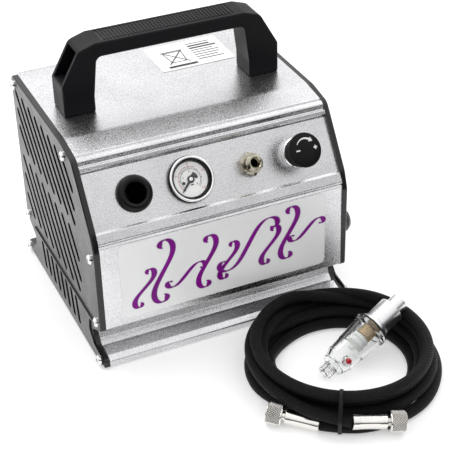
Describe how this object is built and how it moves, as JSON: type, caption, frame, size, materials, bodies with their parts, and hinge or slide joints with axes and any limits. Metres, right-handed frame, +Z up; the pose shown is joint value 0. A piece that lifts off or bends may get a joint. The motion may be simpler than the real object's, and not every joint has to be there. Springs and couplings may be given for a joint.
{
  "type": "airbrush compressor",
  "caption": "Desk-top airbrush compressor: silver shell with black side plates, carrying handle, gauge, pressure knob and airbrush holder, with a coiled braided hose and a moisture trap.",
  "frame": {"origin": "on the bench below the middle of the housing's base plate; the rubber feet lift the housing 1 mm", "axes": "+Z up, -Y towards the control panel and the user, +X to the right as seen from the front"},
  "size_m": [0.2073, 0.3033, 0.1915],
  "materials": {
    "blasted_aluminium": "fine sand-blasted, pale silver",
    "base_steel": "black powder coat",
    "black_plate": "satin black",
    "bright_screw": "polished",
    "black_rubber": "matt",
    "handle_black": "satin moulded",
    "grip_black": "ribbed, matt",
    "printed_label": "printed film",
    "holder_black": "satin moulded",
    "zinc_steel": "plated",
    "chrome_ring": "polished",
    "dial_white": "matt white",
    "needle_black": "black",
    "clear_glass": "clear",
    "brass": "turned",
    "nickel_brass": "thin nickel over brass",
    "knob_black": "satin moulded",
    "cast_aluminium": "as cast",
    "switch_plastic": "moulded",
    "copper_winding": "enamelled copper",
    "fan_plastic": "moulded",
    "filter_grey": "dark grey moulded",
    "polished_nickel": "polished nickel",
    "braided_hose": "black woven braid",
    "black_tie": "coated wire",
    "satin_aluminium": "satin anodised",
    "clear_bowl": "clear moulded",
    "sintered_bronze": "sintered grain",
    "red_button": "red moulded"
  },
  "bodies": {
    "housing": {"housing_shell": "blasted_aluminium", "rear_cover": "blasted_aluminium", "base_plate": "base_steel", "side_plate_left": "black_plate", "side_plate_right": "black_plate", "side_screws": "bright_screw", "rubber_feet": "black_rubber", "foot_screws": "bright_screw", "handle": "handle_black", "handle_grip": "grip_black", "handle_screws": "bright_screw", "front_label": "printed_label", "top_label": "printed_label", "airbrush_holder": "holder_black", "panel_locknuts": "zinc_steel", "gauge_case": "zinc_steel", "gauge_bezel": "chrome_ring", "gauge_dial": "dial_white", "gauge_lens": "clear_glass", "gauge_movement": "brass", "outlet_fitting": "nickel_brass", "regulator_body": "zinc_steel", "regulator_collar": "chrome_ring", "regulator_spring": "zinc_steel", "regulator_diaphragm": "black_rubber", "air_manifold": "cast_aluminium", "pressure_switch": "switch_plastic", "motor_can": "zinc_steel", "motor_end_caps": "cast_aluminium", "motor_bearings": "chrome_ring", "stator": "copper_winding", "crankcase": "cast_aluminium", "cylinder_barrel": "cast_aluminium", "valve_plate": "zinc_steel", "cylinder_head": "cast_aluminium", "motor_cradle": "base_steel", "rubber_isolators": "black_rubber", "delivery_pipe": "brass", "intake_pipe": "black_rubber", "intake_filter": "filter_grey", "power_switch_bezel": "switch_plastic", "power_inlet": "switch_plastic", "hose_ferrules": "polished_nickel", "hose_coil": "braided_hose", "hose_tie": "black_tie", "trap_cap": "satin_aluminium", "trap_bowl": "clear_bowl", "trap_filter": "sintered_bronze"},
    "pressure_knob": {"regulator_knob": "knob_black", "regulator_stem": "brass"},
    "needle": {"gauge_needle": "needle_black"},
    "rotor": {"motor_rotor": "zinc_steel", "cooling_fan": "fan_plastic", "crank_web": "zinc_steel"},
    "rod": {"connecting_rod": "cast_aluminium"},
    "piston": {"piston": "cast_aluminium"},
    "rocker": {"power_rocker": "switch_plastic"},
    "nut_left": {"hose_nut_left": "polished_nickel"},
    "nut_right": {"hose_nut_right": "polished_nickel"},
    "drain_pin": {"drain_button": "red_button"}
  },
  "joints": [
    {"name": "pressure_knob_turn", "type": "hinge", "parent": "housing", "child": "pressure_knob", "pos_m": [0.0579, -0.06907, 0.12122], "axis": [0, -0.8221, 0.5693], "range_deg": [-270, 270]},
    {"name": "gauge_needle_sweep", "type": "hinge", "parent": "housing", "child": "needle", "pos_m": [-0.0163, -0.06167, 0.1161], "axis": [0, -0.8221, 0.5693], "range_deg": [-270, 0]},
    {"name": "motor_spin", "type": "hinge", "parent": "housing", "child": "rotor", "pos_m": [0, 0.014, 0.051], "axis": [1, 0, 0], "continuous": true},
    {"name": "rod_swing", "type": "hinge", "parent": "rotor", "child": "rod", "pos_m": [0.031, 0.014, 0.054], "axis": [1, 0, 0], "continuous": true},
    {"name": "piston_slide", "type": "slide", "parent": "housing", "child": "piston", "axis": [0, 0, 1], "range_m": [-0.006, 0]},
    {"name": "power_rocker_tilt", "type": "hinge", "parent": "housing", "child": "rocker", "pos_m": [0.022, 0.0784, 0.053], "axis": [0, 0, 1], "range_deg": [0, 12]},
    {"name": "hose_nut_left_spin", "type": "hinge", "parent": "housing", "child": "nut_left", "pos_m": [-0.01162, -0.17325, 0.00688], "axis": [-0.7461, 0.6629, 0.0624], "continuous": true},
    {"name": "hose_nut_right_spin", "type": "hinge", "parent": "housing", "child": "nut_right", "pos_m": [0.05156, -0.21231, 0.00784], "axis": [0.9504, -0.2857, -0.1233], "continuous": true},
    {"name": "trap_drain_press", "type": "slide", "parent": "housing", "child": "drain_pin", "axis": [-0.0585, 0.8973, -0.4376], "range_m": [0, 0.002], "stiffness_N_per_m": 150}
  ],
  "couplings": [
    {"joint": "rod_swing", "follows": "motor_spin", "ratio": -1}
  ]
}
